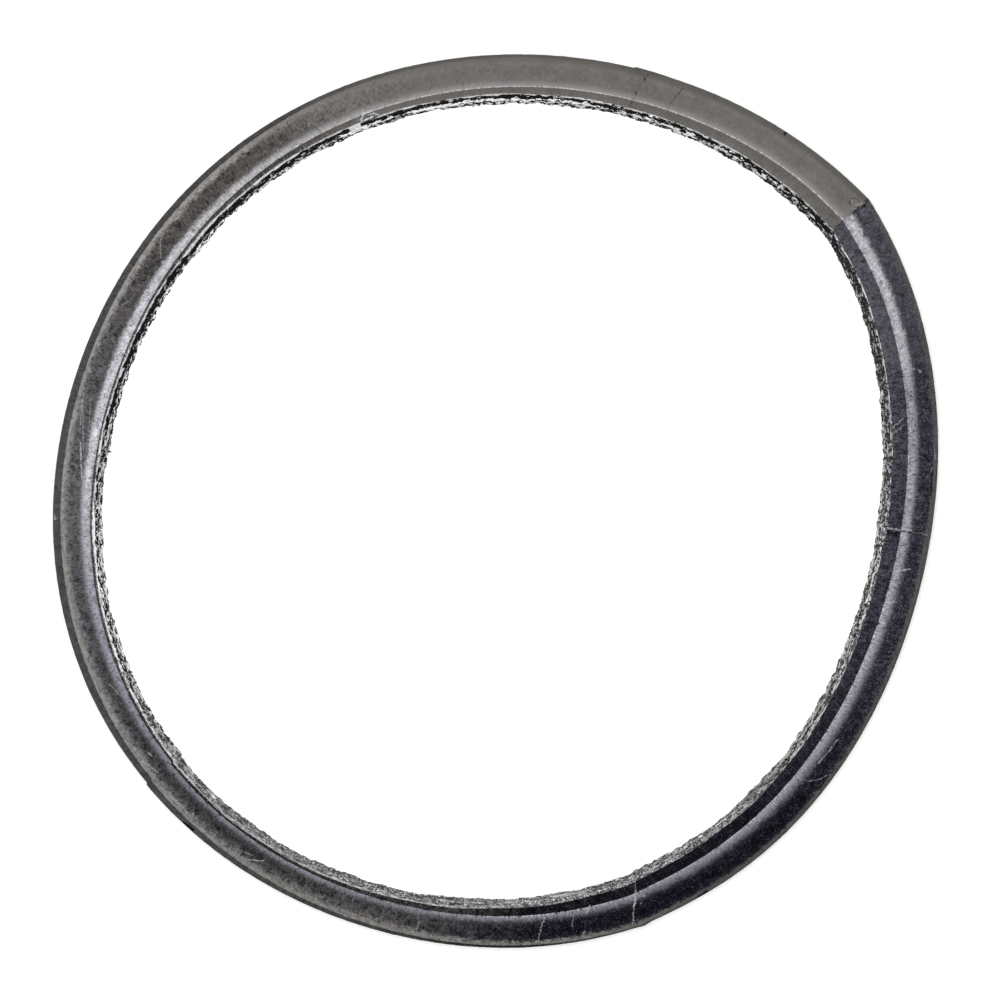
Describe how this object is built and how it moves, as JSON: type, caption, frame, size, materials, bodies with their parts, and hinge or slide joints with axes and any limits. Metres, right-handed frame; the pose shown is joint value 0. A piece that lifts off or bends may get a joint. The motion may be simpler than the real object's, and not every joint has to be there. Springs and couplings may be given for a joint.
{
  "type": "ring gasket",
  "caption": "Flat ring gasket with a rounded ridge pressed between its two lips, graphite-faced with steel plies; bent out of round, with one sharp kink and a torn inner edge.",
  "frame": {"origin": "centre of the ring's bounding box, on the underside of the lips", "axes": "+Z along the ring's axis, towards the side that the ridge stands on; +Y is the top of the picture and +X its right"},
  "size_m": [0.2788, 0.2814, 0.0064],
  "materials": {
    "facing_foil": "semi-gloss graphite foil",
    "under_foil": "graphite foil",
    "bright_steel": "bright torn edge",
    "core_graphite": "matte graphite"
  },
  "bodies": {
    "root": {"upper_facing": "facing_foil", "upper_steel_ply": "bright_steel", "graphite_core": "core_graphite", "lower_steel_ply": "bright_steel", "lower_facing": "under_foil"}
  },
  "joints": []
}
